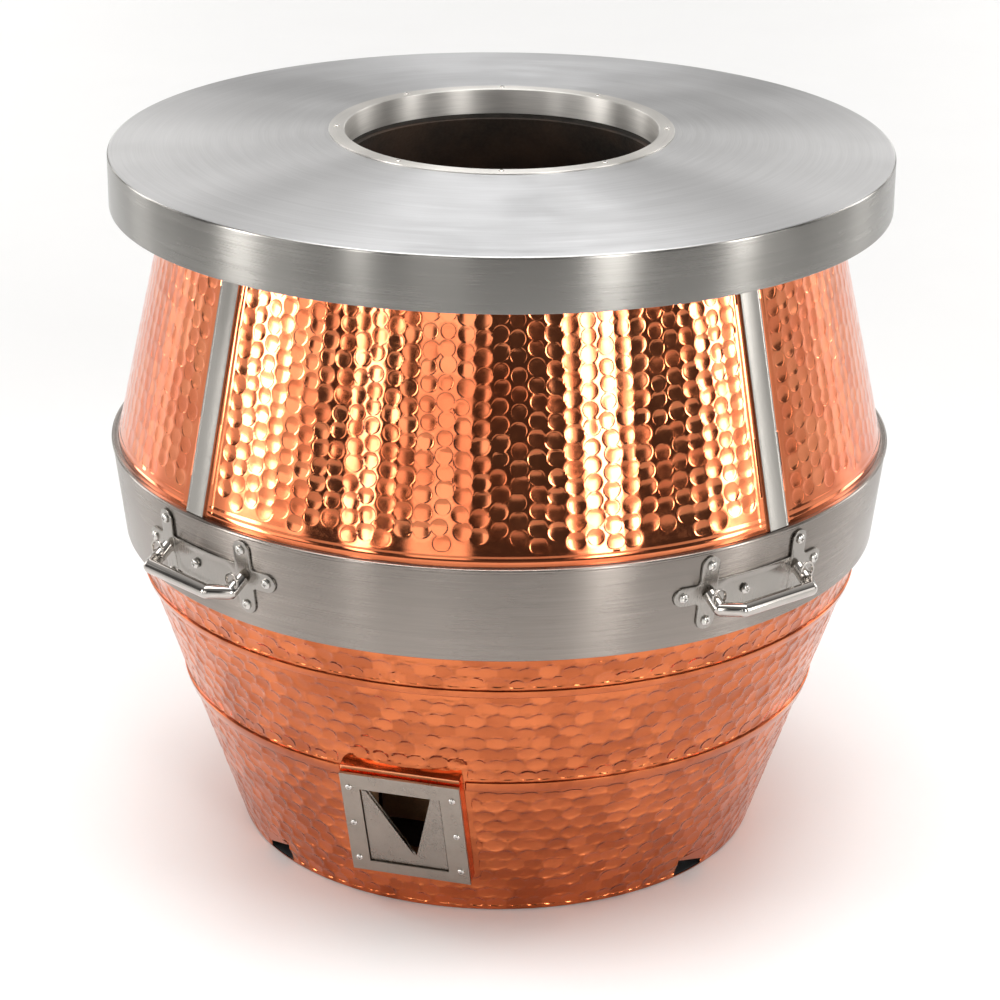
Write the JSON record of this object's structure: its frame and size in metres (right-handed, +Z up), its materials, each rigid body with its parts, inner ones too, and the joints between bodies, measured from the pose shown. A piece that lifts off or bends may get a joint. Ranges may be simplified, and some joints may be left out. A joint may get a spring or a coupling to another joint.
{
  "type": "gas tandoor",
  "caption": "Drum oven in hammered copper with a clay pot, round steel top with an open mouth, steel belly band with carrying handles, draught door at the foot and gas controls behind.",
  "frame": {"origin": "on the floor, in the middle of the drum", "axes": "+Z up along the drum and out of the mouth; -Y towards the front, where the draught door is; +X to the right seen from the front"},
  "size_m": [0.9154, 0.9154, 0.8446],
  "materials": {
    "copper": "satin",
    "bright_steel": "satin",
    "satin_steel": "satin",
    "band_steel": "satin",
    "polished_steel": "polished",
    "frame_steel": "matte",
    "galvanised_steel": "satin",
    "fired_clay": "matte",
    "insulation": "matte",
    "seal_rope": "matte",
    "cast_iron": "matte",
    "heat_steel": "matte",
    "fitting_brass": "satin",
    "pipe_copper": "satin",
    "black_plastic": "satin",
    "red_plastic": "gloss"
  },
  "bodies": {
    "drum": {"base_ring": "frame_steel", "floor_pan": "galvanised_steel", "lower_uprights": "frame_steel", "upper_uprights": "frame_steel", "belly_ring": "frame_steel", "neck_ring": "frame_steel", "course_bottom": "copper", "course_middle": "copper", "course_top": "copper", "belly_band": "band_steel", "panel_front": "copper", "panel_right": "copper", "panel_rear": "copper", "panel_left": "copper", "cover_strips": "bright_steel", "top_plate": "bright_steel", "top_hoop": "frame_steel", "top_soffit": "galvanised_steel", "mouth_collar": "bright_steel", "collar_screws": "polished_steel", "mouth_seal": "seal_rope", "clay_pot": "fired_clay", "pot_deck": "heat_steel", "pot_legs": "heat_steel", "insulation_fill": "insulation", "flame_deflector": "heat_steel", "deflector_studs": "heat_steel", "handle_plates": "band_steel", "handle_screws": "polished_steel", "handle_ferrules": "bright_steel", "handle_front_left": "polished_steel", "handle_front_right": "polished_steel", "handle_rear_right": "polished_steel", "handle_rear_left": "polished_steel", "door_box": "copper", "door_frame": "satin_steel", "door_frame_screws": "polished_steel", "door_duct": "heat_steel", "duct_baffle": "heat_steel", "door_hinge_pin": "satin_steel", "control_box": "galvanised_steel", "control_plate": "satin_steel", "control_screws": "polished_steel", "gas_tap_body": "fitting_brass", "igniter_body": "black_plastic", "gas_inlet": "fitting_brass", "gas_pipe": "pipe_copper", "injector": "fitting_brass", "venturi_tube": "heat_steel", "burner_head": "cast_iron", "burner_stand": "cast_iron", "pilot_burner": "fitting_brass", "pilot_pipe": "pipe_copper"},
    "draught_door": {"draught_door": "satin_steel"},
    "draught_shutter": {"draught_shutter": "satin_steel", "shutter_nuts": "satin_steel"},
    "tap_plug": {"tap_plug": "fitting_brass"},
    "gas_knob": {"gas_knob": "black_plastic"},
    "igniter_button": {"igniter_button": "red_plastic"},
    "air_shutter": {"air_shutter": "heat_steel"}
  },
  "joints": [
    {"name": "door_swing", "type": "hinge", "parent": "drum", "child": "draught_door", "pos_m": [-0.14303, -0.33461, 0.12507], "axis": [0.0884, 0.3044, -0.9484], "range_deg": [0, 90]},
    {"name": "draught_slide", "type": "slide", "parent": "draught_door", "child": "draught_shutter", "axis": [0.9603, -0.279, 0], "range_m": [0, 0.03]},
    {"name": "tap_turn", "type": "hinge", "parent": "drum", "child": "tap_plug", "pos_m": [0.042, 0.395, 0.13], "axis": [0, 1, 0], "range_deg": [0, 210]},
    {"name": "knob_push", "type": "slide", "parent": "tap_plug", "child": "gas_knob", "axis": [0, -1, 0], "range_m": [0, 0.004], "stiffness_N_per_m": 900},
    {"name": "igniter_push", "type": "slide", "parent": "drum", "child": "igniter_button", "axis": [0, -1, 0], "range_m": [0, 0.005], "stiffness_N_per_m": 700},
    {"name": "air_turn", "type": "hinge", "parent": "drum", "child": "air_shutter", "pos_m": [0, 0.279, 0.12], "axis": [0, 1, 0], "range_deg": [0, 50]}
  ]
}
